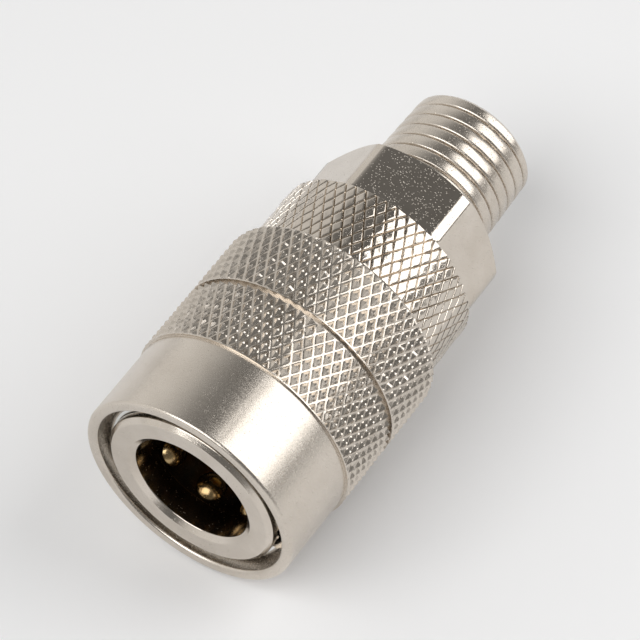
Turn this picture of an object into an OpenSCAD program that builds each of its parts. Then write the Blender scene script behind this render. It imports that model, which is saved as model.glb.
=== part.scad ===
// Quick coupling socket with a ball lock, a sprung valve and a male taper pipe thread.
// It stands on the rim of its sleeve, mouth down. +Z runs along the axis, from the mouth to the thread.

/* [Mouth] */
// Radius of the bore that takes the plug
bore_r = 6.2; // [6.1:0.05:6.3]
// Radius of the mouth's chamfer at the nose face
mouth_r = 6.8; // [6.5:0.1:7.2]
// Depth of the mouth's chamfer and of the nose's outer chamfer
nose_chamfer = 0.45; // [0.2:0.05:0.6]
// Radius of the socket body, where the sleeve's land runs on it
nose_r = 9.1; // [9.0:0.05:9.2]
// How far the nose face stands back from the sleeve's rim
nose_back = 0.1; // [0.05:0.05:0.4]

/* [Sleeve] */
// Length of the sleeve
sleeve_len = 24.05; // [23.5:0.05:25]
// Radius of the smooth front ring
ring_r = 11.4; // [11.3:0.05:11.6]
// Length of the smooth front ring
ring_len = 8.95; // [8:0.05:10]
// Radius of the opening inside the rim
rim_r = 10.2; // [10.1:0.05:10.4]
// Roundness of the rim's two edges
rim_round = 0.35; // [0.2:0.05:0.4]
// How far the sleeve slides back
sleeve_travel = 4; // [3.5:0.25:4.5]
// Distance from the rim to the rear face of the land
land_end = 9.5; // [8.5:0.25:10]
// Inner radius of the skirt behind the land
skirt_r = 10.85; // [10.8:0.05:10.9]
// Slope on the outer edge at the rear
rear_slope = 0.45; // [0.3:0.05:0.6]

/* [Sleeve knurl] */
// Radius over the points of the sleeve's knurl
sleeve_knurl_r = 11.75; // [11.7:0.05:11.9]
// Depth of the sleeve's knurl
sleeve_knurl_depth = 0.42; // [0.3:0.02:0.42]
// Knurl grooves around the sleeve, each way
sleeve_starts = 62; // [50:1:70]
// Rows of diamonds in each of the two bands
sleeve_rows = 7; // [5:1:9]
// Distance from the rim to the plain groove between the bands
line_z = 16.2; // [14:0.1:18]
// Width of that groove
line_w = 0.4; // [0.2:0.05:0.6]
// Step down from the smooth ring to the plain wall that the knurl stands on
wall_step = 0.15; // [0.1:0.05:0.2]

/* [Lock balls] */
// Diameter of a lock ball
ball_d = 3.5; // [3.4:0.05:3.6]
// Distance from the rim to the row of balls
ball_z = 5.1; // [5:0.1:5.8]
// How far a ball moves out as the sleeve slides back
ball_lift = 0.68; // [0.6:0.02:0.72]
// Depth of the relief turned in the bore at the row of balls
relief_depth = 0.2; // [0.18:0.01:0.24]
// Width of that relief
relief_w = 3.6; // [3.2:0.1:3.8]

/* [Snap ring] */
// Wire diameter of the ring that holds the sleeve on
snap_d = 1.2; // [1:0.05:1.3]
// Distance from the rim to the ring
snap_z = 1.9; // [1.6:0.05:2]
// Depth of the ring's groove in the nose
snap_depth = 0.45; // [0.35:0.05:0.6]
// Angle left open between the ring's ends
snap_open = 24; // [10:2:40]

/* [Plug seal] */
// Section diameter of the seal on the plug
seal_d = 1.9; // [1.7:0.05:2]
// How far the seal stands into the bore
seal_bite = 0.3; // [0.2:0.05:0.4]
// Distance from the rim to the seal's groove
seal_z = 9.6; // [8.6:0.1:9.8]
// Thickness of the back-up ring behind the seal
backup_t = 1; // [0.8:0.1:1.2]

/* [Valve] */
// Radius of the lip that the valve closes
lip_r = 5.2; // [5.1:0.05:5.3]
// Distance from the rim to the front of the lip
lip_z = 13.4; // [13.3:0.1:14]
// Length of the lip, before the seat's cone
lip_len = 1; // [0.8:0.1:1.2]
// Radius of the valve chamber
chamber_r = 6.6; // [6.5:0.05:6.7]
// How far the valve opens
valve_travel = 4; // [3:0.25:4.25]
// Radius of the valve's slotted nose
nose_cup_r = 4.7; // [4.6:0.05:4.8]
// Wall of the valve's slotted nose
nose_cup_wall = 1; // [0.8:0.1:1.1]
// Length of the valve's nose in front of its seal
nose_cup_len = 4.7; // [4:0.1:5]
// Width of the nose's four slots
nose_slot_w = 2.4; // [2:0.1:2.8]
// Thickness of the floor between the nose's pocket and the stud's hole
nose_floor_t = 0.4; // [0.3:0.05:0.6]
// Length of the nose's unslotted end, in front of the stud's hole
nose_collar = 0.8; // [0.6:0.05:1.2]
// Thickness of the valve's rubber seal
valve_seal_t = 1.8; // [1.4:0.1:2]
// How far behind the front of the seat's cone the seal starts
valve_seal_in = 0.2; // [0.1:0.05:0.3]
// Flow gap between the seal and the chamber's wall
valve_gap = 0.4; // [0.3:0.05:0.5]
// Radius of the spigot that the seal fits on
spigot_r = 2.75; // [2.5:0.05:3]
// Radius of the stud that holds the nose on
stud_r = 1.5; // [1.2:0.1:1.8]
// Length of that stud inside the nose
stud_len = 1; // [0.6:0.1:1.2]
// Radius of the valve's head
head_r = 6; // [5.8:0.05:6.1]
// Thickness of the valve's head
head_t = 1.2; // [1:0.1:1.5]
// Radius of the valve's stem
stem_r = 1.75; // [1.5:0.05:2]
// How far the stem's end stays inside the guide when the valve is shut
stem_back = 0.8; // [0.6:0.1:1]

/* [Valve guide] */
// Distance from the rim to the front of the guide
guide_z = 26.2; // [26:0.1:26.6]
// Thickness of the guide
guide_t = 2; // [1.8:0.1:2.4]
// Outer radius of the guide
guide_r = 7.15; // [7.05:0.05:7.25]
// Width of the guide's rim
guide_rim = 1.25; // [1:0.05:1.4]
// Radius of the guide's hub
hub_r = 2.9; // [2.7:0.05:3]
// How far the hub stands forward inside the spring
hub_len = 1.8; // [1.5:0.1:2]
// Radius of the flange that the spring sits on
hub_flange_r = 4.5; // [4.4:0.05:4.7]
// Width of the guide's three spokes
spoke_w = 2.2; // [1.8:0.1:2.6]

/* [Springs] */
// Wire diameter of the sleeve's spring
sleeve_wire = 1.1; // [0.9:0.05:1.15]
// Turns of the sleeve's spring
sleeve_turns = 6; // [5:0.5:6.5]
// Wire diameter of the valve's spring
valve_wire = 0.7; // [0.5:0.05:0.75]
// Turns of the valve's spring
valve_turns = 5.5; // [4.5:0.5:5.5]
// Mean radius of the valve's spring
valve_coil_r = 3.65; // [3.6:0.05:3.8]
// Rise of a closed end turn, as a share of the wire's diameter
end_rise = 0.78; // [0.76:0.01:0.85]
// Length of a closed end turn, in turns
end_turn = 0.75; // [0.6:0.05:0.75]

/* [Rear body] */
// Distance from the rim to the front of the rear body
rear_z = 21.5; // [21:0.1:21.8]
// Radius over the flats of the rear body's knurl
rear_knurl_r = 10.6; // [10.4:0.05:10.6]
// Depth of the rear body's knurl
rear_knurl_depth = 0.32; // [0.2:0.02:0.36]
// Knurl grooves around the rear body, each way
rear_starts = 58; // [46:1:64]
// Rows of diamonds on the rear body
rear_rows = 9; // [7:1:11]
// Step down from the knurl's grooves to the plain wall under them
rear_wall_step = 0.1; // [0.05:0.05:0.15]
// Step down from the knurl's flats to the plain band in front of it
rear_band_step = 0.1; // [0.05:0.05:0.15]
// Bevel at the front of the rear body
rear_bevel = 0.2; // [0.1:0.05:0.4]
// Part of each diamond that is flat on top
rear_flat = 0.66; // [0.4:0.02:0.8]
// Distance from the rim to the start of the knurl
rear_knurl_z = 22.5; // [22.2:0.1:22.9]
// Distance from the rim to the end of the knurl
rear_knurl_end = 31.5; // [31:0.1:32]
// Radius of the tail that screws into the rear body
tail_r = 8.7; // [8.5:0.05:8.8]
// Section diameter of the seal on the tail
tail_seal_d = 1; // [0.8:0.05:1]
// Distance from the rim to the tail seal's groove
tail_seal_z = 24; // [23.6:0.1:24.2]
// Radius of the flow space behind the guide
flow_r = 6.4; // [6.2:0.05:6.6]
// Length of that flow space
flow_len = 3.3; // [3:0.1:4]
// Radius of the bore through the thread
outlet_r = 4.3; // [4:0.05:4.5]

/* [Hexagon] */
// Width across the flats
hex_af = 17.46; // [17:0.02:17.8]
// Radius to which the corners are turned
hex_corner_r = 9.86; // [9.7:0.02:9.9]
// Distance from the rim to the hexagon's rear face
hex_end = 38.4; // [37.5:0.1:39.5]
// Length of the cone that joins the corners to the shoulder
hex_flare = 0.7; // [0.4:0.05:0.9]

/* [Pipe thread] */
// Radius over the thread's crests at its small end
thread_r = 6.63; // [6.5:0.01:6.7]
// Overall length of the coupling, up to the thread's end
overall_len = 48.95; // [47:0.05:51]
// Chamfer at the thread's end
thread_chamfer = 0.45; // [0.3:0.05:0.7]

/* [Fits] */
// Running clearance between the sleeve's land and the nose
land_fit = 0.05; // [0.03:0.01:0.08]
// Clearance around a lock ball
ball_fit = 0.05; // [0.04:0.01:0.07]
// Clearance around pieces that sit still
seat_fit = 0.05; // [0.03:0.01:0.08]
// Running clearance of the valve's stem in its guide
stem_fit = 0.05; // [0.03:0.01:0.08]
// Clearance between the valve's seal and its seat
valve_fit = 0.07; // [0.05:0.01:0.1]

/* [Hidden] */

$fn = 96;
ball_count = 8;
slot_count = 4;
spoke_count = 3;
coil_steps = 20;                  // rings of points in one turn of a spring
eps = 0.01;                       // overlap of a cutter past the face it opens

// Lock balls: where they rest, and the slope of the land that lets them out
land_r = nose_r + land_fit;
ramp = ball_lift / sleeve_travel;
ball_r = ball_d / 2;
ball_centre_r = land_r - ball_fit - ball_r;
ball_hole_r = ball_r + ball_fit;
seat_apex_r = ball_centre_r - ball_hole_r * sqrt(2);

// Sleeve
land_z = snap_z + snap_d / 2 + seat_fit;
land_front_r = land_r + ramp * (ball_z - land_z);
core_r = ring_r - wall_step;
band_root_r = (core_r + skirt_r) / 2;

// Snap ring
snap_r = nose_r - snap_depth + snap_d / 2;
snap_groove_r = nose_r - snap_depth - seat_fit;

// Plug seal and its back-up ring
seal_in_r = bore_r - seal_bite;
seal_groove_r = seal_in_r + seal_d + seat_fit;
seal_groove_w = seal_d + backup_t + 3 * seat_fit;
backup_z = seal_z + seal_d + 2 * seat_fit;

// Valve seat, valve and guide
cone_z = lip_z + lip_len;
cone_end = cone_z + chamber_r - lip_r;
seat_gap = valve_fit * sqrt(2);   // the same clearance, measured along the axis
vseal_z = cone_z + valve_seal_in;
vseal_front_r = lip_r + (vseal_z - cone_z) - seat_gap;
vseal_r = chamber_r - valve_gap;
head_z = vseal_z + valve_seal_t;
head_end = head_z + head_t;
guide_bore_r = guide_r + seat_fit;
guide_end = guide_z + guide_t;
stem_end = guide_end - stem_back;

// Rear body
tail_bore_r = tail_r + seat_fit;
tail_groove_r = tail_bore_r - tail_seal_d - 2 * seat_fit;
tail_groove_w = tail_seal_d + 2 * seat_fit;
rear_core_r = rear_knurl_r - rear_knurl_depth - rear_wall_step;
rear_front_r = rear_knurl_r - rear_band_step;
rear_root_r = (rear_core_r + tail_bore_r) / 2;
flow_end = guide_end + flow_len;
outlet_z = flow_end + flow_r - outlet_r;

function polar(r, a, z) = [r * cos(a), r * sin(a), z];

// Two triangles of a knurl cell, split along its groove; a, b, c, d run round the cell
function split_cell(a, b, c, d, even) = even ? [[a, b, d], [b, c, d]] : [[a, b, c], [a, c, d]];

// A ring of pointed diamonds: even grid points are the points, odd ones lie in the grooves.
// The last row is lowered to end_r, which slopes the edge.
module pointed_knurl(r_top, depth, starts, rows, z0, z1, r_in, end_r) {
    n = 2 * starts;
    grid = [for (j = [0:rows], i = [0:n - 1])
        polar((j == rows) ? min(end_r, r_top - ((i + j) % 2) * depth) : r_top - ((i + j) % 2) * depth,
              i * 360 / n, z0 + (z1 - z0) * j / rows)];
    rings = [for (z = [z0, z1], i = [0:n - 1]) polar(r_in, i * 360 / n, z)];
    low = n * (rows + 1);
    high = low + n;
    outside = [for (j = [0:rows - 1], i = [0:n - 1])
        let (k = (i + 1) % n, a = j * n + i, b = (j + 1) * n + i, c = (j + 1) * n + k, d = j * n + k)
        each split_cell(a, b, c, d, (i + j) % 2 == 0)];
    rest = [for (i = [0:n - 1]) let (k = (i + 1) % n) each [
        [low + i, i, k], [low + i, k, low + k],
        [high + i, rows * n + k, rows * n + i], [high + i, high + k, rows * n + k],
        [low + i, low + k, high + k], [low + i, high + k, high + i]]];
    polyhedron(concat(grid, rings), concat(outside, rest), convexity = 6);
}

// A ring of diamonds with flat tops; the two end rows lie at the groove's depth
module flat_knurl(r_top, depth, starts, rows, z0, z1, r_in, flat) {
    n = 2 * starts;
    step = 360 / n;
    h = (z1 - z0) / rows;
    count = n * (rows + 1);
    is_top = function (i, j) (i + j) % 2 == 0 && j > 0 && j < rows;
    grid = [for (j = [0:rows], i = [0:n - 1])
        polar(is_top(i, j) ? r_top : r_top - depth, i * step, z0 + j * h)];
    // four corners of the flat on each top: right, up, left, down
    corners = [for (j = [0:rows], i = [0:n - 1], q = [0:3])
        polar(r_top, (i + [flat, 0, -flat, 0][q]) * step, z0 + (j + [0, flat, 0, -flat][q]) * h)];
    rings = [for (z = [z0, z1], i = [0:n - 1]) polar(r_in, i * step, z)];
    at = function (i, j) j * n + (i + n) % n;
    corner = function (i, j, q) count + 4 * at(i, j) + q;
    // faces of the quarter of a diamond between the neighbour along i and the neighbour along j
    quarter = function (i, j, di, dj)
        let (t = at(i, j), s = at(i + di, j), u = at(i, j + dj),
             ci = corner(i, j, di > 0 ? 0 : 2), cj = corner(i, j, dj > 0 ? 1 : 3),
             f = is_top(i, j) ? [[t, cj, ci], [ci, cj, u], [ci, u, s]] : [[t, u, s]])
        di * dj > 0 ? f : [for (g = f) [g[0], g[2], g[1]]];
    outside = [for (j = [0:rows], i = [0:n - 1]) if ((i + j) % 2 == 0)
        each [for (di = [-1, 1], dj = [-1, 1]) if (j + dj >= 0 && j + dj <= rows)
            each quarter(i, j, di, dj)]];
    low = 5 * count;
    high = low + n;
    rest = [for (i = [0:n - 1]) let (k = (i + 1) % n) each [
        [low + i, i, k], [low + i, k, low + k],
        [high + i, rows * n + k, rows * n + i], [high + i, high + k, rows * n + k],
        [low + i, low + k, high + k], [low + i, high + k, high + i]]];
    polyhedron(concat(grid, corners, rings), concat(outside, rest), convexity = 6);
}

// A round-wire spring between two seats, with its end turns lying close
module coil(r, wire, turns, z0, z1, sides) {
    rings = floor(turns * coil_steps);
    dead = coil_steps * end_turn;               // rings in each closed end turn
    active = rings - 2 * dead;
    close = end_rise * wire;
    gap = seat_fit / 2;
    span = z1 - z0 - wire - 2 * gap;
    rise = function (k) k < dead ? close * k / dead
        : k > rings - dead ? span - close * (rings - k) / dead
        : close + (span - 2 * close) * (k - dead) / active;
    points = [for (k = [0:rings], s = [0:sides - 1])
        polar(r + wire / 2 * cos(s * 360 / sides), k * 360 / coil_steps,
              z0 + gap + wire / 2 + rise(k) + wire / 2 * sin(s * 360 / sides))];
    skin = [for (k = [0:rings - 1], s = [0:sides - 1])
        let (t = (s + 1) % sides, a = k * sides + s, b = k * sides + t)
        each [[a, b, a + sides], [b, b + sides, a + sides]]];
    caps = [[for (s = [sides - 1:-1:0]) s], [for (s = [0:sides - 1]) rings * sides + s]];
    polyhedron(points, concat(skin, caps), convexity = 8);
}

// Turned outline of a rounded corner: centre, radius, start and end angle
function arc(cx, cy, r, a0, a1, n = 5) =
    [for (k = [0:n]) [cx + r * cos(a0 + (a1 - a0) * k / n), cy + r * sin(a0 + (a1 - a0) * k / n)]];

module sleeve() {
    color([0.70, 0.68, 0.65]) union() {
        rotate_extrude() polygon(concat(
            arc(rim_r + rim_round, rim_round, rim_round, 180, 270),
            arc(ring_r - rim_round, rim_round, rim_round, 270, 360),
            [[ring_r, ring_len], [core_r, ring_len], [core_r, sleeve_len],
             [skirt_r, sleeve_len], [skirt_r, land_end], [land_r, land_end],
             [land_r, ball_z], [land_front_r, land_z], [rim_r, land_z]]));
        pointed_knurl(sleeve_knurl_r, sleeve_knurl_depth, sleeve_starts, sleeve_rows,
                      ring_len, line_z - line_w / 2, band_root_r, sleeve_knurl_r);
        pointed_knurl(sleeve_knurl_r, sleeve_knurl_depth, sleeve_starts, sleeve_rows,
                      line_z + line_w / 2, sleeve_len - eps, band_root_r, sleeve_knurl_r - rear_slope);
    }
}

module snap_ring() {
    color([0.80, 0.80, 0.80])
    translate([0, 0, snap_z]) rotate([0, 0, snap_open / 2])
    rotate_extrude(angle = 360 - snap_open) translate([snap_r, 0]) circle(d = snap_d);
}

module sleeve_spring() {
    color([0.55, 0.55, 0.57])
    coil((nose_r + skirt_r) / 2, sleeve_wire, sleeve_turns, land_end, rear_z, 8);
}

module socket_body() {
    color([0.72, 0.70, 0.66]) difference() {
        rotate_extrude() polygon([
            [mouth_r, nose_back], [nose_r - nose_chamfer, nose_back],
            [nose_r, nose_back + nose_chamfer],
            [nose_r, snap_z - snap_d / 2 - seat_fit], [snap_groove_r, snap_z - snap_d / 2 - seat_fit],
            [snap_groove_r, snap_z + snap_d / 2 + seat_fit], [nose_r, snap_z + snap_d / 2 + seat_fit],
            [nose_r, rear_z], [tail_r, rear_z],
            [tail_r, tail_seal_z], [tail_groove_r, tail_seal_z],
            [tail_groove_r, tail_seal_z + tail_groove_w], [tail_r, tail_seal_z + tail_groove_w],
            [tail_r, guide_end], [guide_bore_r, guide_end], [guide_bore_r, guide_z],
            [chamber_r, guide_z], [chamber_r, cone_end], [lip_r, cone_z], [lip_r, lip_z],
            [bore_r, lip_z], [bore_r, seal_z + seal_groove_w], [seal_groove_r, seal_z + seal_groove_w],
            [seal_groove_r, seal_z], [bore_r, seal_z],
            [bore_r, ball_z + relief_w / 2], [bore_r + relief_depth, ball_z + relief_w / 2],
            [bore_r + relief_depth, ball_z - relief_w / 2], [bore_r, ball_z - relief_w / 2],
            [bore_r, nose_back + nose_chamfer]]);
        for (k = [0:ball_count - 1])
            translate([0, 0, ball_z]) rotate([0, 0, k * 360 / ball_count]) rotate([0, 90, 0])
            rotate_extrude() polygon([
                [0, seat_apex_r], [ball_hole_r, seat_apex_r + ball_hole_r],
                [ball_hole_r, nose_r + 1], [0, nose_r + 1]]);
    }
}

module lock_ball(k) {
    color([0.78, 0.78, 0.80])
    rotate([0, 0, (k - 1) * 360 / ball_count]) translate([ball_centre_r, 0, ball_z]) sphere(r = ball_r);
}

module plug_seal() {
    color([0.10, 0.10, 0.10])
    translate([0, 0, seal_z + seat_fit + seal_d / 2])
    rotate_extrude() translate([seal_in_r + seal_d / 2, 0]) circle(d = seal_d);
}

module backup_ring() {
    color([0.90, 0.89, 0.85])
    translate([0, 0, backup_z]) difference() {
        cylinder(h = backup_t, r = seal_groove_r - seat_fit);
        translate([0, 0, -eps]) cylinder(h = backup_t + 2 * eps, r = bore_r + seat_fit);
    }
}

module valve_nose() {
    cup_z = vseal_z - nose_cup_len;
    floor_z = vseal_z - stud_len - seat_fit;
    color([0.72, 0.56, 0.28]) difference() {
        translate([0, 0, cup_z]) cylinder(h = nose_cup_len, r = nose_cup_r);
        translate([0, 0, cup_z - eps])
            cylinder(h = floor_z - cup_z - nose_floor_t + eps, r = nose_cup_r - nose_cup_wall);
        translate([0, 0, floor_z]) cylinder(h = stud_len + 1, r = stud_r + seat_fit);
        for (k = [0:slot_count / 2 - 1]) rotate([0, 0, k * 360 / slot_count + 45])
            translate([-nose_cup_r - 1, -nose_slot_w / 2, cup_z - eps])
            cube([2 * nose_cup_r + 2, nose_slot_w, floor_z - cup_z - nose_collar + eps]);
    }
}

module valve_seal() {
    color([0.12, 0.11, 0.11])
    rotate_extrude() polygon([
        [spigot_r + seat_fit, vseal_z], [vseal_front_r, vseal_z],
        [vseal_r, vseal_z + vseal_r - vseal_front_r], [vseal_r, head_z],
        [spigot_r + seat_fit, head_z]]);
}

module valve_poppet() {
    color([0.74, 0.58, 0.30])
    rotate_extrude() polygon([
        [0, vseal_z - stud_len], [stud_r, vseal_z - stud_len], [stud_r, vseal_z],
        [spigot_r, vseal_z], [spigot_r, head_z], [head_r, head_z], [head_r, head_end],
        [stem_r, head_end], [stem_r, stem_end], [0, stem_end]]);
}

module valve_spring() {
    color([0.60, 0.60, 0.62])
    coil(valve_coil_r, valve_wire, valve_turns, head_end, guide_z, 6);
}

module valve_guide() {
    color([0.73, 0.57, 0.30]) difference() {
        union() {
            translate([0, 0, guide_z - hub_len]) cylinder(h = hub_len + guide_t, r = hub_r);
            translate([0, 0, guide_z]) cylinder(h = guide_t, r = hub_flange_r);
            difference() {
                translate([0, 0, guide_z]) cylinder(h = guide_t, r = guide_r);
                translate([0, 0, guide_z - eps]) cylinder(h = guide_t + 2 * eps, r = guide_r - guide_rim);
            }
            for (k = [0:spoke_count - 1]) rotate([0, 0, k * 360 / spoke_count + 90])
                translate([stem_r + 1, -spoke_w / 2, guide_z])
                cube([guide_r - guide_rim / 2 - stem_r - 1, spoke_w, guide_t]);
        }
        translate([0, 0, guide_z - hub_len - eps])
            cylinder(h = hub_len + guide_t + 2 * eps, r = stem_r + stem_fit);
    }
}

module tail_seal() {
    color([0.10, 0.10, 0.10])
    translate([0, 0, tail_seal_z + tail_groove_w / 2])
    rotate_extrude() translate([tail_groove_r + seat_fit + tail_seal_d / 2, 0]) circle(d = tail_seal_d);
}

module hexagon() {
    intersection() {
        translate([0, 0, rear_knurl_end - eps])
            cylinder(h = hex_end - rear_knurl_end + eps, r = hex_af / sqrt(3), $fn = 6);
        rotate_extrude() polygon([
            [0, rear_knurl_end - 1], [rear_core_r, rear_knurl_end - 1], [rear_core_r, rear_knurl_end],
            [hex_corner_r, rear_knurl_end + hex_flare],
            [hex_corner_r, hex_end - (hex_corner_r - hex_af / 2) * tan(30)],
            [hex_af / 2, hex_end], [0, hex_end]]);
    }
}

module rear_body() {
    color([0.70, 0.68, 0.64]) difference() {
        union() {
            rotate_extrude() polygon([
                [0, rear_z], [rear_front_r - rear_bevel, rear_z], [rear_front_r, rear_z + rear_bevel],
                [rear_front_r, rear_knurl_z], [rear_core_r, rear_knurl_z],
                [rear_core_r, rear_knurl_end + eps], [0, rear_knurl_end + eps]]);
            flat_knurl(rear_knurl_r, rear_knurl_depth, rear_starts, rear_rows, rear_knurl_z - eps,
                       rear_knurl_end, rear_root_r, rear_flat);
            hexagon();
            translate([0, 0, hex_end - eps])
                cylinder(h = overall_len - hex_end - thread_chamfer + eps, r = thread_r);
            translate([0, 0, overall_len - thread_chamfer])
                cylinder(h = thread_chamfer, r1 = thread_r, r2 = thread_r - thread_chamfer);
        }
        translate([0, 0, rear_z - eps]) cylinder(h = guide_end - rear_z + eps, r = tail_bore_r);
        translate([0, 0, guide_end - eps]) cylinder(h = flow_len + 2 * eps, r = flow_r);
        translate([0, 0, flow_end]) cylinder(h = outlet_z - flow_end, r1 = flow_r, r2 = outlet_r);
        translate([0, 0, outlet_z - eps]) cylinder(h = overall_len - outlet_z + 1, r = outlet_r);
    }
}

sleeve();
snap_ring();
sleeve_spring();
socket_body();
lock_ball(1);  // lock_ball_1
lock_ball(2);  // lock_ball_2
lock_ball(3);  // lock_ball_3
lock_ball(4);  // lock_ball_4
lock_ball(5);  // lock_ball_5
lock_ball(6);  // lock_ball_6
lock_ball(7);  // lock_ball_7
lock_ball(8);  // lock_ball_8
plug_seal();
backup_ring();
valve_nose();
valve_seal();
valve_poppet();
valve_spring();
valve_guide();
tail_seal();
rear_body();
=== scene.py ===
import math

import bpy
import numpy as np
from mathutils import Matrix, Vector, noise


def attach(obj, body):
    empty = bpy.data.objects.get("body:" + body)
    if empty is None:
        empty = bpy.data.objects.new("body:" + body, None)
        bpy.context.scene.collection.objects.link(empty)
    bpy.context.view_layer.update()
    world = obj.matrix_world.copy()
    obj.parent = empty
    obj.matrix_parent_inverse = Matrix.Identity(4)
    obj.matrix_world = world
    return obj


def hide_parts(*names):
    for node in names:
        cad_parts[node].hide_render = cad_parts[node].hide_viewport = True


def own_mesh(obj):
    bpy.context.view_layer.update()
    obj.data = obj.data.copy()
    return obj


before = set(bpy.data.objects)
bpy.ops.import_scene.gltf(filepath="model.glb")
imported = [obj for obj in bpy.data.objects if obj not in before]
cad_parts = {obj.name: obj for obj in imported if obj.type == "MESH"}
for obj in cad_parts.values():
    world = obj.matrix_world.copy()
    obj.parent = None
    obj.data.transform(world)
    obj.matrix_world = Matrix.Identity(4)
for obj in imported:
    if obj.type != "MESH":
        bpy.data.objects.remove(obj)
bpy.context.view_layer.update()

# ---- Socket body ----
# The steel body that the plug goes into, turned from one bar, with eight ball holes drilled from
# outside. The nose, the bore, the seal's groove, the valve's seat and the screwed tail are all on it.
# Bright nickel plate over lathe marks.
mm = 0.001
bore_r, mouth_r, nose_r, nose_back, nose_chamfer = 6.2, 6.8, 9.1, 0.1, 0.45
snap_low, snap_high, snap_floor = 1.25, 2.55, 8.6
relief_r, relief_low, relief_high = 6.4, 3.3, 6.9
ball_count, ball_row, ball_hole_r, ball_hole_tip = 8, 5.1, 1.8, 4.8
seal_floor, seal_low, seal_high, plug_stop = 7.85, 9.6, 12.65, 13.4
throat_r, throat_end, chamber_r, chamber_low = 5.2, 14.4, 6.6, 15.8
guide_r, guide_seat, tail_r, tail_low, tail_high = 7.2, 26.2, 8.7, 21.5, 28.2
tail_floor, tail_groove_low, tail_groove_high = 7.65, 24.0, 25.1
ease_fine, ease_edge = 0.06, 0.14
plate, plate_stain = (0.67, 0.61, 0.54), (0.58, 0.52, 0.45)


def eased(corners, support=0.03, steps=5):
    """The outline through corners (radius, height, easing) in mm. Each corner is rounded by its easing,
    with one more point a support's length past the round on both sides. An easing of 0 keeps it sharp."""
    outline = []
    for k, (r, z, ease) in enumerate(corners):
        here = Vector((r, z))
        back = Vector(corners[k - 1][:2]) - here
        on = Vector(corners[(k + 1) % len(corners)][:2]) - here
        if not ease:
            outline.append(here)
            continue
        half = back.angle(on) / 2
        reach = min(ease / math.tan(half), 0.4 * back.length, 0.4 * on.length)
        back.normalize()
        on.normalize()
        middle = here + (back + on).normalized() * reach / math.cos(half)
        first, last = here + back * reach - middle, here + on * reach - middle
        swing = first.angle(last)
        outline.append(here + back * (reach + support))
        for s in range(steps + 1):
            t = s / steps
            outline.append(middle + (first * math.sin((1 - t) * swing) + last * math.sin(t * swing))
                           / math.sin(swing))
        outline.append(here + on * (reach + support))
    return outline


class Shell:
    """A mesh gathered as rings of points about the axis, in mm, and the faces that join them."""

    def __init__(self):
        self.points, self.faces = [], []

    def ring(self, radius, height, columns, angle=None):
        """One ring of points, evenly spaced unless angles are given. Gives its first point and count."""
        if angle is None:
            angle = np.arange(columns) * 2 * np.pi / columns
        radius, height = radius + 0 * angle, height + 0 * angle
        first = sum(map(len, self.points))
        self.points.append(np.column_stack((radius * np.cos(angle), radius * np.sin(angle), height)))
        return first, columns

    def join(self, low, high, row=None, steps=1):
        """Faces from one ring to the next. On a knurl's row they split along the grooves."""
        (a, n), (b, m) = low, high
        if n != m:
            i = j = 0
            while i < n or j < m:
                if j == m or (i < n and (i + 1) * m <= (j + 1) * n):
                    self.faces.append((a + i % n, a + (i + 1) % n, b + j % m))
                    i += 1
                else:
                    self.faces.append((a + i % n, b + (j + 1) % m, b + j % m))
                    j += 1
            return
        for i in range(n):
            k = (i + 1) % n
            if row is None:
                self.faces.append((a + i, a + k, b + k, b + i))
            elif (i // steps + row // steps) % 2 == 0:
                self.faces += [(a + i, a + k, b + i), (a + k, b + k, b + i)]
            else:
                self.faces += [(a + i, a + k, b + k), (a + i, b + k, b + i)]

    def follow(self, outline, columns, wobble=None, last=None):
        """Rings along an outline, joined one to the next, from an earlier ring if one is given."""
        angle = np.arange(columns) * 2 * np.pi / columns
        rings = []
        for r, z in outline:
            off = wobble(angle, r, z) if wobble else 0
            rings.append(self.ring(r + off, z, columns))
            if last:
                self.join(last, rings[-1])
            last = rings[-1]
        return rings

    def build(self, name, sharp=32):
        """The object, in metres, smooth except along edges that turn by more than sharp degrees."""
        mesh = bpy.data.meshes.new(name)
        mesh.from_pydata(np.concatenate(self.points) * mm, [], self.faces)
        mesh.update()
        piece = bpy.data.objects.new(name, mesh)
        bpy.context.scene.collection.objects.link(piece)
        smooth(piece, sharp)
        return piece


def smooth(piece, sharp):
    mesh = piece.data
    mesh.polygons.foreach_set("use_smooth", [True] * len(mesh.polygons))
    mesh.set_sharp_from_angle(angle=math.radians(sharp))


def turned(name, corners, columns=192, sharp=32):
    """A piece turned on the lathe from a closed outline."""
    shell = Shell()
    rings = shell.follow(eased(corners), columns)
    shell.join(rings[-1], rings[0])
    return shell.build(name, sharp)


def fit(piece, body, node, finish):
    """The piece takes the node's place on its body and finish."""
    piece.data.materials.clear()
    piece.data.materials.append(finish)
    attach(piece, body)
    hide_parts(node)


def node(tree, kind, values=(), **settings):
    """A shader node with its sockets filled from numbers, colours or other nodes' sockets."""
    made = tree.nodes.new("ShaderNode" + kind)
    for key, value in settings.items():
        setattr(made, key, value)
    for socket, value in dict(values).items():
        if isinstance(value, bpy.types.NodeSocket):
            tree.links.new(value, made.inputs[socket])
        else:
            made.inputs[socket].default_value = value
    return made


def fade(tree, value, low, high, to_low=0.0, to_high=1.0):
    """The value carried over from low and high to to_low and to_high, and held beyond them."""
    made = node(tree, "MapRange", {0: value, 1: low, 2: high, 3: to_low, 4: to_high})
    return made.outputs[0]


def blend_colour(tree, share, first, second):
    made = node(tree, "Mix", {0: share, 6: first, 7: second}, data_type="RGBA")
    return made.outputs[2]


def maths(tree, operation, first, second):
    return node(tree, "Math", {0: first, 1: second}, operation=operation).outputs[0]


def mottle(tree, place, scale, detail, rough=0.5):
    """Cloudy noise, with about scale cells to a metre."""
    return node(tree, "TexNoise", {"Vector": place, "Scale": scale, "Detail": detail,
                                   "Roughness": rough}).outputs[0]


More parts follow.
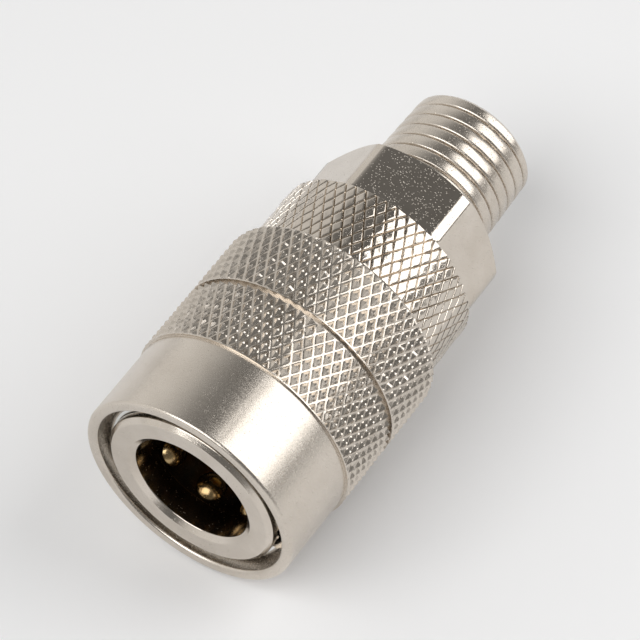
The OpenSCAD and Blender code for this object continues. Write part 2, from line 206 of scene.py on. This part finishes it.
def blank(name):
    """A new material, its node tree and its shader."""
    material = bpy.data.materials.new(name)
    material.use_nodes = True
    return material, material.node_tree, material.node_tree.nodes["Principled BSDF"]


def nickel(name, colour, stain, rough, lathe=0.25, pits=0.2, grain=0.3, speckle=0.52, stretch=0.0,
           rolled=None, groove_shade_share=0.25, shaded_bore_r=None, dull_from=None):
    """Metal, bright or plated, that clouds from colour to stain. lathe, pits and grain say how strong
    its lathe marks, pits and fine grain are, and a lower speckle spreads more pits. stretch draws the
    highlight out across the lathe marks. rolled gives, in mm, where a knurl starts and ends and the
    radius of its grooves: lathe marks fade there, and the grooves are painted darker toward their floors,
    as shade, by the share groove_shade_share.
    The bore inside shaded_bore_r is painted darker, as shade, more so deeper in, and the metal is duller
    past the height dull_from."""
    # dark colours painted on as shade: one in the knurl's grooves, one down the bore
    groove_shade_colour, bore_shade_colour = (0.16, 0.12, 0.08, 1), (0.10, 0.065, 0.03, 1)
    band_edge, bore_shade_from, bore_shade_full, duller = 0.05, 0.55, 2.2, 0.13
    material, tree, shader = blank(name)
    place = node(tree, "TexCoord").outputs["Object"]
    axes = node(tree, "SeparateXYZ", {0: place}).outputs
    flat = node(tree, "CombineXYZ", {0: axes[0], 1: axes[1]}).outputs[0]
    radius = node(tree, "VectorMath", {0: flat}, operation="LENGTH").outputs["Value"]
    # lathe marks change fast along the outline and slowly round it
    along = maths(tree, "MULTIPLY", maths(tree, "ADD", radius, axes[2]), 90.0)
    course = node(tree, "CombineXYZ", {0: axes[0], 1: axes[1], 2: along}).outputs[0]
    marks = mottle(tree, course, 170.0, 5.0, 0.75)
    cloud = mottle(tree, place, 260.0, 4.0, 0.6)
    fine = mottle(tree, place, 5200.0, 3.0, 0.7)
    sparse = mottle(tree, place, 1900.0, 2.0)
    spots = node(tree, "TexVoronoi", {"Vector": place, "Scale": 4600.0}).outputs["Distance"]
    pit = maths(tree, "MULTIPLY", fade(tree, spots, 0.30, 0.12), fade(tree, sparse, speckle, speckle + 0.1))
    tone = blend_colour(tree, fade(tree, cloud, 0.35, 0.75), (*colour, 1), (*stain, 1))
    if rolled is not None:
        start, stop, root = rolled
        band = maths(tree, "MULTIPLY", fade(tree, axes[2], start * mm, (start + band_edge) * mm),
                     fade(tree, axes[2], (stop - band_edge) * mm, stop * mm, 1.0, 0.0))
        marks = maths(tree, "MULTIPLY", marks, fade(tree, band, 0, 1, 1.0, 0.15))
        # painted shade: the knurl's grooves are coloured darker toward their floors
        groove_shade = fade(tree, radius, (root - 0.06) * mm, (root + 0.1) * mm, groove_shade_share, 0.0)
        tone = blend_colour(tree, maths(tree, "MULTIPLY", groove_shade, band), tone, groove_shade_colour)
    if shaded_bore_r is not None:
        # painted shade: inside the bore the plate is coloured darker, more so further from the mouth
        bore_shade = maths(tree, "MULTIPLY", fade(tree, radius, shaded_bore_r * mm, (shaded_bore_r + 0.1) * mm, 1.0, 0.0),
                    fade(tree, axes[2], bore_shade_from * mm, bore_shade_full * mm, 0.0, 0.85))
        tone = blend_colour(tree, bore_shade, tone, bore_shade_colour)
    tree.links.new(tone, shader.inputs["Base Color"])
    shader.inputs["Metallic"].default_value = 1.0
    shader.inputs["Anisotropic"].default_value = stretch
    if stretch:
        round_axis = node(tree, "Tangent", direction_type="RADIAL", axis="Z").outputs[0]
        tree.links.new(round_axis, shader.inputs["Tangent"])
    worn = fade(tree, fine, 0.3, 0.7, rough * (1 - grain), rough * (1 + grain))
    worn = maths(tree, "ADD", worn, fade(tree, pit, 0, 1, 0, 0.35))
    if dull_from is not None:
        worn = maths(tree, "ADD", worn,
                     fade(tree, axes[2], dull_from * mm, (dull_from + 0.3) * mm, 0.0, duller))
    tree.links.new(worn, shader.inputs["Roughness"])
    relief = node(tree, "Bump", {"Height": marks, "Strength": lathe, "Distance": 0.012 * mm})
    relief = node(tree, "Bump", {"Height": fine, "Strength": grain * 0.5, "Distance": 0.006 * mm,
                                 "Normal": relief.outputs[0]})
    relief = node(tree, "Bump", {"Height": pit, "Strength": pits, "Distance": 0.02 * mm,
                                 "Normal": relief.outputs[0]}, invert=True)
    tree.links.new(relief.outputs[0], shader.inputs["Normal"])
    return material


socket = turned("socket_body_shell", [
    (mouth_r, nose_back, 0.1), (nose_r - nose_chamfer, nose_back, ease_edge),
    (nose_r, nose_back + nose_chamfer, ease_edge), (nose_r, snap_low, ease_fine),
    (snap_floor, snap_low, 0), (snap_floor, snap_high, 0), (nose_r, snap_high, ease_fine),
    (nose_r, tail_low, ease_edge), (tail_r, tail_low, 0), (tail_r, tail_groove_low, 0),
    (tail_floor, tail_groove_low, 0), (tail_floor, tail_groove_high, 0), (tail_r, tail_groove_high, 0),
    (tail_r, tail_high, ease_edge), (guide_r, tail_high, ease_edge), (guide_r, guide_seat, 0),
    (chamber_r, guide_seat, ease_fine), (chamber_r, chamber_low, 0), (throat_r, throat_end, ease_fine),
    (throat_r, plug_stop, ease_fine), (bore_r, plug_stop, 0), (bore_r, seal_high, ease_fine),
    (seal_floor, seal_high, 0), (seal_floor, seal_low, 0),
    (bore_r, seal_low, ease_fine), (bore_r, relief_high, ease_fine), (relief_r, relief_high, 0),
    (relief_r, relief_low, 0), (bore_r, relief_low, ease_fine),
    (bore_r, nose_back + nose_chamfer, ease_edge)])


def drilled(piece, count, outline, height, columns=40):
    """Cuts a ring of holes into the piece. The drill's outline is (radius, distance from the axis)."""
    drills = Shell()
    tips = [drills.ring(r, out, columns) for r, out in outline]
    for low, high in zip(tips, tips[1:]):
        drills.join(low, high)
    drills.faces.append(tuple(range(columns - 1, -1, -1)))
    drills.faces.append(tuple(range(tips[-1][0], tips[-1][0] + columns)))
    drill = drills.build("drill")
    lay = Matrix.Rotation(math.pi / 2, 4, "Y")
    for k in range(count):
        cutter = drill.copy()
        bpy.context.scene.collection.objects.link(cutter)
        turn = Matrix.Rotation(k * 2 * math.pi / count, 4, "Z")
        cutter.matrix_world = Matrix.Translation((0, 0, height * mm)) @ turn @ lay
        cut = piece.modifiers.new("hole", "BOOLEAN")
        cut.operation, cut.solver, cut.object = "DIFFERENCE", "EXACT", cutter
        bpy.context.view_layer.update()
        graph = bpy.context.evaluated_depsgraph_get()
        result = bpy.data.meshes.new_from_object(piece.evaluated_get(graph))
        piece.modifiers.clear()
        piece.data = result
        bpy.data.objects.remove(cutter)
    bpy.data.objects.remove(drill)


drilled(socket, ball_count, [(0.02, ball_hole_tip), (ball_hole_r, ball_hole_tip + ball_hole_r),
                             (ball_hole_r, nose_r + 1)], ball_row)
smooth(socket, 32)
# the bore's inside is painted darker, as shade, from the mouth inward
body_plate = nickel("body_nickel", plate, plate_stain, 0.16, lathe=0.35, pits=0.25, shaded_bore_r=7.0)
fit(socket, "body", "socket_body", body_plate)

# ---- Lock balls ----
# Eight hardened steel balls, ground and polished, loose in the drilled holes. The sleeve's land
# keeps them in the plug's groove until it slides back.


def dress(name, finish):
    """A CAD node whose shape is right keeps its mesh and takes a finish."""
    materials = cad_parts[name].data.materials
    materials.clear()
    materials.append(finish)


# the balls' colour is painted dark and brassy: shade down the bore and the brass valve's reflection, not
# the steel's own grey
ball_steel = nickel("ball_steel", (0.56, 0.43, 0.24), (0.30, 0.19, 0.08), 0.2, lathe=0.0, pits=0.1)
for k in range(ball_count):
    dress("lock_ball_%d" % (k + 1), ball_steel)

# ---- Plug seal, back-up ring and tail seal ----
# The seals are moulded nitrile O-rings with a faint flash line. The back-up ring is turned from
# white fluoropolymer and keeps the plug's seal from creeping out of its groove.


def soft(name, colour, dusty, rough, scale):
    """Rubber or plastic: a mottled skin with a fine moulded grain."""
    material, tree, shader = blank(name)
    place = node(tree, "TexCoord").outputs["Object"]
    cloud = mottle(tree, place, scale / 8, 4.0)
    grain = mottle(tree, place, scale, 3.0)
    tone = blend_colour(tree, fade(tree, cloud, 0.4, 0.75), (*colour, 1), (*dusty, 1))
    tree.links.new(tone, shader.inputs["Base Color"])
    tree.links.new(fade(tree, grain, 0.3, 0.7, rough - 0.12, rough + 0.12), shader.inputs["Roughness"])
    skin = node(tree, "Bump", {"Height": grain, "Strength": 0.3, "Distance": 0.01 * mm})
    tree.links.new(skin.outputs[0], shader.inputs["Normal"])
    return material


nitrile = soft("seal_nitrile", (0.012, 0.010, 0.010), (0.03, 0.026, 0.022), 0.45, 4000)
for part_name in ("plug_seal", "tail_seal", "valve_seal"):
    dress(part_name, nitrile)
dress("backup_ring", soft("backup_fluoropolymer", (0.72, 0.70, 0.64), (0.62, 0.58, 0.50), 0.4, 2500))

# ---- Valve ----
# The shut-off valve is turned brass: a slotted nose that the plug pushes, a head that backs the
# rubber seal, and a stem that runs in a three-spoked guide. A stainless spring shuts it.
valve_wire, valve_spring_r, valve_spring_low = 0.7, 3.65, 17.6
valve_brass = nickel("valve_brass", (0.62, 0.44, 0.18), (0.42, 0.27, 0.09), 0.3, lathe=0.4, pits=0.1)
for part_name in ("valve_nose", "valve_poppet", "valve_guide"):
    dress(part_name, valve_brass)


def coil(name, wire, middle_r, turns, low, high, sides=14, per_turn=64):
    """A round-wire spring, closed over three quarters of a turn at each end and ground flat there."""
    closed, closed_rise, ground = 0.75, 0.8 * wire, 0.03
    rise = []
    span = high - low - wire
    for k in range(int(turns * per_turn) + 1):
        t = k / per_turn
        if t < closed:
            rise.append(closed_rise * t / closed)
        elif t > turns - closed:
            rise.append(span - closed_rise * (turns - t) / closed)
        else:
            rise.append(closed_rise + (span - 2 * closed_rise) * (t - closed) / (turns - 2 * closed))
    points, faces = [], []
    for k, up in enumerate(rise):
        a = k * 2 * math.pi / per_turn
        for s in range(sides):
            b = s * 2 * math.pi / sides
            r = middle_r + wire / 2 * math.cos(b)
            z = low + wire / 2 + up + wire / 2 * math.sin(b)
            points.append((r * math.cos(a), r * math.sin(a), min(max(z, low + ground), high - ground)))
    for k in range(len(rise) - 1):
        for s in range(sides):
            t = (s + 1) % sides
            faces.append((k * sides + s, k * sides + t, (k + 1) * sides + t, (k + 1) * sides + s))
    faces.append(tuple(range(sides - 1, -1, -1)))
    faces.append(tuple(range(len(points) - sides, len(points))))
    shell = Shell()
    shell.points, shell.faces = [np.array(points)], faces
    return shell.build(name, 60)


spring_wire = nickel("spring_wire", (0.50, 0.49, 0.47), (0.36, 0.34, 0.31), 0.28, lathe=0.0, pits=0.2)
valve_spring = coil("valve_spring_wire", valve_wire, valve_spring_r, 5.5, valve_spring_low, guide_seat)
fit(valve_spring, "body", "valve_spring", spring_wire)
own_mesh(valve_spring)

# ---- Sleeve spring ----
# A stainless compression spring in the space between the body and the sleeve's skirt. It holds
# the sleeve forward on its snap ring.
sleeve_wire, sleeve_spring_r, land_end = 1.1, 9.975, 9.5
sleeve_spring = coil("sleeve_spring_wire", sleeve_wire, sleeve_spring_r, 6, land_end, tail_low)
fit(sleeve_spring, "body", "sleeve_spring", spring_wire)
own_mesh(sleeve_spring)

# ---- Sleeve ----
# The sliding sleeve, turned from steel bar. Its front ring is left smooth with fine lathe lines,
# two bands of pointed diamonds are rolled behind it, and the whole is nickel plated.
ring_r, ring_end, rim_r, rim_ease, collar_r = 11.4, 8.95, 10.2, 0.34, 9.58
knurl_r, knurl_depth, knurl_starts, knurl_rows = 11.75, 0.42, 62, 7
line_low, line_high, wall_r, shoulder_r = 15.98, 16.4, 11.25, 11.66
lip, band_start, band_stop = 0.12, 0.16, 0.02
sleeve_end, skirt_r, land_r = 24.05, 10.85, 9.15
knurl_steps = 6


def diamonds(starts, rows):
    """Share of full height over a knurl: 0 in the grooves, 1 on the points, row by row."""
    across, up = np.meshgrid(np.arange(2 * starts * knurl_steps) / knurl_steps,
                             np.arange(rows * knurl_steps + 1) / knurl_steps)
    return np.minimum(np.abs((across + up) % 2 - 1), np.abs((across - up) % 2 - 1))


def uneven(rows, columns, reach, seed):
    """Slow variation over a knurl, from -1 to 1, the same each run. A higher reach is busier."""
    field = np.empty((rows, columns))
    for j in range(rows):
        for i in range(columns):
            a = i * 2 * math.pi / columns
            field[j, i] = noise.noise(Vector((math.cos(a) * reach, math.sin(a) * reach, j * 0.13 + seed)))
    return field


def knurled(shell, last, starts, rows, low, high, radius_of, trim=None):
    """Rings of a knurled band, joined on from the last ring. trim gives the most radius at a height."""
    columns = 2 * starts * knurl_steps
    levels = rows * knurl_steps
    radius = radius_of(diamonds(starts, rows), uneven(levels + 1, columns, 9.0, low))
    for j in range(levels + 1):
        z = low + (high - low) * j / levels
        row = radius[j] if trim is None else np.minimum(radius[j], trim(z))
        now = shell.ring(row, z, columns)
        shell.join(last, now, None if j == 0 else j - 1, knurl_steps)
        last = now
    return last


def pointed(share, bumps):
    """The sleeve's knurl: points worn a little low, and grooves with a narrow floor."""
    groove, slope, worn, swell = 0.2, 0.72, 0.84, 0.04
    top = np.clip((share - groove) / slope, 0, 1)
    return knurl_r - knurl_depth * worn * (1 - top) + swell * bumps - swell / 2


def nicked(angle, r, z):
    """Small knocks on the rim's two edges, no further back than reach."""
    reach, spread, least, depth = 0.5, 26, 0.42, 0.22
    if z > reach:
        return 0
    knocks = [max(0, noise.noise(Vector((math.cos(a) * spread, math.sin(a) * spread, 0.3 * r))) - least)
              for a in angle]
    return -depth * np.array(knocks) * (1 if r > (rim_r + ring_r) / 2 else -1) * (reach - z)


def rolled_off(z):
    """The sleeve's back end is turned down over its last stretch."""
    stretch, drop = 0.75, 0.45
    return knurl_r - drop * max(0, (z - sleeve_end + stretch) / stretch) ** 1.6


shell = Shell()
front = eased([(collar_r, snap_high, 0), (rim_r, snap_high, 0.05), (rim_r, 0, rim_ease),
               (ring_r, 0, rim_ease), (ring_r, ring_end - 0.02, 0.03), (shoulder_r, ring_end, 0)])
front += [Vector((shoulder_r, ring_end + lip))]
start = shell.follow(front, 384, nicked)
last = knurled(shell, start[-1], knurl_starts, knurl_rows, ring_end + band_start, line_low, pointed)
last = shell.follow([(wall_r, line_low + 0.02), (wall_r, line_high - 0.02), (shoulder_r, line_high),
                     (shoulder_r, line_high + lip)], 384, last=last)[-1]
last = knurled(shell, last, knurl_starts, knurl_rows, line_high + band_start, sleeve_end - band_stop,
               pointed, trim=rolled_off)
back = eased([(skirt_r + 0.25, sleeve_end, 0), (skirt_r, sleeve_end, 0.12), (skirt_r, land_end, 0),
              (land_r, land_end, 0.08), (land_r, ball_row, 0)])
last = shell.follow(back, 192, last=last)[-1]
shell.join(last, start[0])
sleeve = shell.build("sleeve_shell", 38)
# its knurl's grooves take a little painted shade
sleeve_plate = nickel("sleeve_nickel", plate, (0.60, 0.54, 0.47), 0.25, lathe=0.9, pits=0.25,
                      grain=0.16, stretch=0.4, rolled=(8.9, 24.1, 11.4), groove_shade_share=0.1)
fit(sleeve, "sleeve", "sleeve", sleeve_plate)

# ---- Snap ring ----
# An open ring of bright spring wire, sprung over the nose into its groove. The sleeve's spring
# pushes the sleeve against it.
dress("snap_ring", nickel("snap_ring_wire", (0.80, 0.80, 0.79), (0.66, 0.66, 0.64), 0.14, lathe=0.0))

# ---- Rear body ----
# One turned piece with a finer, flat-topped knurl, a wrench hexagon with turned corners and a
# male taper pipe thread. Nickel plated like the rest, with bright flats and a duller thread.
rear_knurl_low, rear_knurl_high = 22.5, 31.5
rear_knurl_r, rear_depth, rear_starts, rear_rows, rear_neck = 10.6, 0.32, 58, 9, 0.1
half_flats, corner_r, hex_end, flare, flare_r = 8.73, 9.86, 38.4, 0.7, 10.18
thread_r, thread_end, thread_chamfer = 6.54, 48.95, 0.45
outlet_r, flow_r, flow_end, tail_bore_r = 4.3, 6.4, 31.5, 8.75
pitch, taper, thread_depth, thread_runout = 1.5, 1 / 32, 0.46, 2.6
# where a valley of the thread crosses angle 0
first_valley = 41.52 + pitch * 77.6 / 360


def flat_topped(share, bumps):
    """The rear knurl: flat diamonds with narrow grooves between them, shallow and uneven."""
    groove, slope, worn, swell, low = 0.02, 0.17, 0.6, 0.09, 0.03
    top = np.clip((share - groove) / slope, 0, 1)
    return rear_knurl_r - worn * rear_depth * (1 - top) + swell * bumps - low


def hexagon(shell, last):
    """The hexagon: flats, turned corners, the flare in front of them and the chamfer behind."""
    side, corner = 18, 5
    corner_a = math.acos(half_flats / corner_r)
    angles = []
    for k in range(6):
        middle = math.radians(k * 60 + 30)
        angles += [middle + corner_a * (2 * i / side - 1) for i in range(side)]
        angles += [middle + corner_a + (math.pi / 3 - 2 * corner_a) * i / corner for i in range(corner)]
    columns = len(angles)
    order = np.argsort(np.mod(angles, 2 * math.pi))
    angles = np.mod(angles, 2 * math.pi)[order]
    off = np.abs((angles - math.radians(30) + math.pi / 6) % (math.pi / 3) - math.pi / 6)
    flat_r = np.minimum(half_flats / np.cos(off), corner_r)
    flare_z = rear_knurl_high + flare * np.clip((flare_r - flat_r) / (flare_r - corner_r), 0, 1)
    slope = math.tan(math.radians(30))
    chamfer_z = hex_end - (flat_r - half_flats) * slope
    ease = 0.09
    low_r = np.minimum(half_flats / np.cos(off), flare_r)
    rows = [(low_r, rear_knurl_high), (flat_r, flare_z), (flat_r, flare_z + 0.1),
            (flat_r, chamfer_z - 2 * ease), (flat_r, chamfer_z - ease),
            (flat_r - 0.25 * ease, chamfer_z), (flat_r - ease, chamfer_z + ease * slope),
            (flat_r - 2 * ease, chamfer_z + 2 * ease * slope), (half_flats - 0.2, hex_end)]
    for r, z in rows:
        now = shell.ring(r, np.minimum(z, hex_end), columns, angles)
        shell.join(last, now)
        last = now
    return last


def thread(shell, last, columns=160, rows=190):
    """The pipe thread: broad rounded crests, narrow valleys, and a run-out at the hexagon."""
    run_in, crown, dent_depth, dent_spread = 0.12, 0.14, 0.02, 5
    angle = np.arange(columns) / columns
    for j in range(rows + 1):
        z = hex_end + (thread_end - hex_end) * j / rows
        phase = ((z - first_valley) / pitch - angle) % 1
        valley = np.abs(2 * phase - 1)
        crest = thread_r + taper * (thread_end - thread_chamfer - z)
        depth = thread_depth * min(1, run_in + (z - hex_end) / thread_runout)
        radius = crest - depth * (crown * valley ** 2 + (1 - crown) * valley ** 10)
        dent = [noise.noise(Vector((math.cos(2 * math.pi * a) * dent_spread,
                                    math.sin(2 * math.pi * a) * dent_spread, z * 2))) for a in angle]
        end_r = thread_r - (z - thread_end + thread_chamfer)
        radius = np.minimum(radius + dent_depth * np.array(dent), end_r)
        now = shell.ring(radius, z, columns)
        shell.join(last, now)
        last = now
    return last


shell = Shell()
start = shell.follow(eased([(tail_bore_r, tail_low, 0), (rear_knurl_r - rear_neck, tail_low, 0.2),
                            (rear_knurl_r - rear_neck, rear_knurl_low - 0.05, 0)]), 192)
last = knurled(shell, start[-1], rear_starts, rear_rows, rear_knurl_low, rear_knurl_high, flat_topped)
last = hexagon(shell, last)
last = thread(shell, last)
inside = eased([(thread_r - thread_chamfer - 0.1, thread_end, 0), (outlet_r, thread_end, 0.12),
                (outlet_r, flow_end + flow_r - outlet_r, 0.1), (flow_r, flow_end, 0.1),
                (flow_r, tail_high, 0.05), (tail_bore_r, tail_high, 0), (tail_bore_r, tail_low + 0.5, 0)])
last = shell.follow(inside, 128, last=last)[-1]
shell.join(last, start[0])
rear_body = shell.build("rear_body_shell", 34)
# its knurl's grooves take the default share of painted shade
rear_plate = nickel("rear_nickel", plate, plate_stain, 0.13, lathe=0.12, pits=0.5, speckle=0.36,
                    rolled=(22.4, 31.6, 10.36), dull_from=hex_end)
fit(rear_body, "body", "rear_body", rear_plate)

# ---- Table ----
# A plain pale table. The socket lies on its side on it, so the table stands upright in the part's
# own frame. It can be seen through from behind, so that it hides nothing from the other side.
up = Vector((-0.1608, -0.9870, 0)).normalized()
table_size, table_gap, middle_z = 1.5, 11.75 * mm, 24 * mm
table_mesh = bpy.data.meshes.new("table")
across = Vector((0, 0, 1)).cross(up).normalized()
centre = -up * table_gap + Vector((0, 0, middle_z))
table_mesh.from_pydata([centre + across * a * table_size + Vector((0, 0, b * table_size))
                        for a, b in ((-1, -1), (1, -1), (1, 1), (-1, 1))], [], [(0, 1, 2, 3)])
table_mesh.update()
if table_mesh.polygons[0].normal.dot(up) < 0:
    table_mesh.flip_normals()
table = bpy.data.objects.new("table", table_mesh)
bpy.context.scene.collection.objects.link(table)
table_paint, tree, table_shader = blank("table_paint")
cloud = node(tree, "TexNoise", {"Scale": 14.0, "Detail": 3.0}).outputs[0]
pale = blend_colour(tree, cloud, (0.93, 0.93, 0.94, 1), (0.95, 0.95, 0.95, 1))
tree.links.new(pale, table_shader.inputs["Base Color"])
table_shader.inputs["Roughness"].default_value = 0.9
behind = node(tree, "NewGeometry").outputs["Backfacing"]
clear = node(tree, "BsdfTransparent").outputs[0]
shown = node(tree, "MixShader", {0: behind, 1: table_shader.outputs[0], 2: clear})
tree.links.new(shown.outputs[0], tree.nodes["Material Output"].inputs["Surface"])
table_mesh.materials.append(table_paint)

# ---- Lamps and surroundings ----
# A softbox above and to the right of the socket, and a larger one to the left of the camera. The
# room is pale to the left, dark overhead and to the right, and plain and pale to the camera's eye.
aim = Vector((0, 0, middle_z))


def softbox(name, azimuth, rise, distance, width, height, glow):
    """A rectangular lamp that faces the socket. Azimuth runs round the axis, rise along it, and glow is
    how bright its face is beside a white table in full light."""
    a = math.radians(azimuth)
    side = math.sqrt(1 - rise * rise)
    toward = Vector((math.cos(a) * side, math.sin(a) * side, rise))
    data = bpy.data.lights.new(name, "AREA")
    data.shape, data.size, data.size_y = "RECTANGLE", width, height
    data.energy = glow * math.pi * width * height
    lamp = bpy.data.objects.new(name, data)
    round_axis = Vector((-math.sin(a), math.cos(a), 0))
    lamp.matrix_world = Matrix.Translation(aim + toward * distance) @ Matrix((
        round_axis, toward.cross(round_axis), toward)).transposed().to_4x4()
    lamp.visible_camera = False
    bpy.context.scene.collection.objects.link(lamp)


softbox("key_softbox", -57, 0.486, 0.5, 0.456, 0.36, 2.35)
softbox("fill_softbox", -112, -0.6, 0.7, 0.6, 0.5, 2.9)

world = bpy.data.worlds.new("room")
bpy.context.scene.world = world
world.use_nodes = True
# how bright the room is, by degrees from straight overhead, from the left over to the right
stops = [(-90, 0.9), (-50, 0.74), (-36, 0.5), (-20, 0.2), (8, 0.14), (60, 0.2), (84, 0.3), (95, 0.6)]
tree = world.node_tree
look = node(tree, "TexCoord").outputs["Generated"]
rise = node(tree, "VectorMath", {0: look, 1: up}, operation="DOT_PRODUCT").outputs["Value"]
aside = node(tree, "VectorMath", {0: look, 1: across}, operation="DOT_PRODUCT").outputs["Value"]
lean = node(tree, "Math", {0: aside, 1: rise}, operation="ARCTAN2").outputs[0]
shade = node(tree, "ValToRGB", {0: fade(tree, lean, -math.pi, math.pi)})
ramp = shade.color_ramp
for k, (degrees, level) in enumerate(stops):
    stop = ramp.elements[k] if k < 2 else ramp.elements.new((degrees + 180) / 360)
    stop.position, stop.color = (degrees + 180) / 360, (level, level * 0.99, level * 0.97, 1)
seen = node(tree, "LightPath").outputs["Is Camera Ray"]
walls = blend_colour(tree, seen, shade.outputs[0], (0.83, 0.83, 0.83, 1))
tree.links.new(walls, tree.nodes["Background"].inputs["Color"])
tree.nodes["Background"].inputs["Strength"].default_value = 1.0

# ---- Camera ----
# A long lens that looks down on the socket from in front of the mouth, so that the far end is only
# a little smaller than the near one.
camera_place = Vector((0.06989, -0.32090, -0.15982))
camera_data = bpy.data.cameras.new("camera")
camera_data.lens, camera_data.sensor_width = 223.9, 36
camera = bpy.data.objects.new("camera", camera_data)
bpy.context.scene.collection.objects.link(camera)
away = Vector((0.18767, -0.85354, -0.48604)).normalized()
camera_up = Vector((-0.53705, -0.50348, 0.67682)).normalized()
camera_right = camera_up.cross(away)
camera.matrix_world = Matrix.Translation(camera_place) @ Matrix((
    camera_right, camera_up, away)).transposed().to_4x4()
camera_data.clip_start, camera_data.clip_end = 0.01, 10
bpy.context.scene.camera = camera
bpy.context.scene.view_settings.view_transform = "Standard"
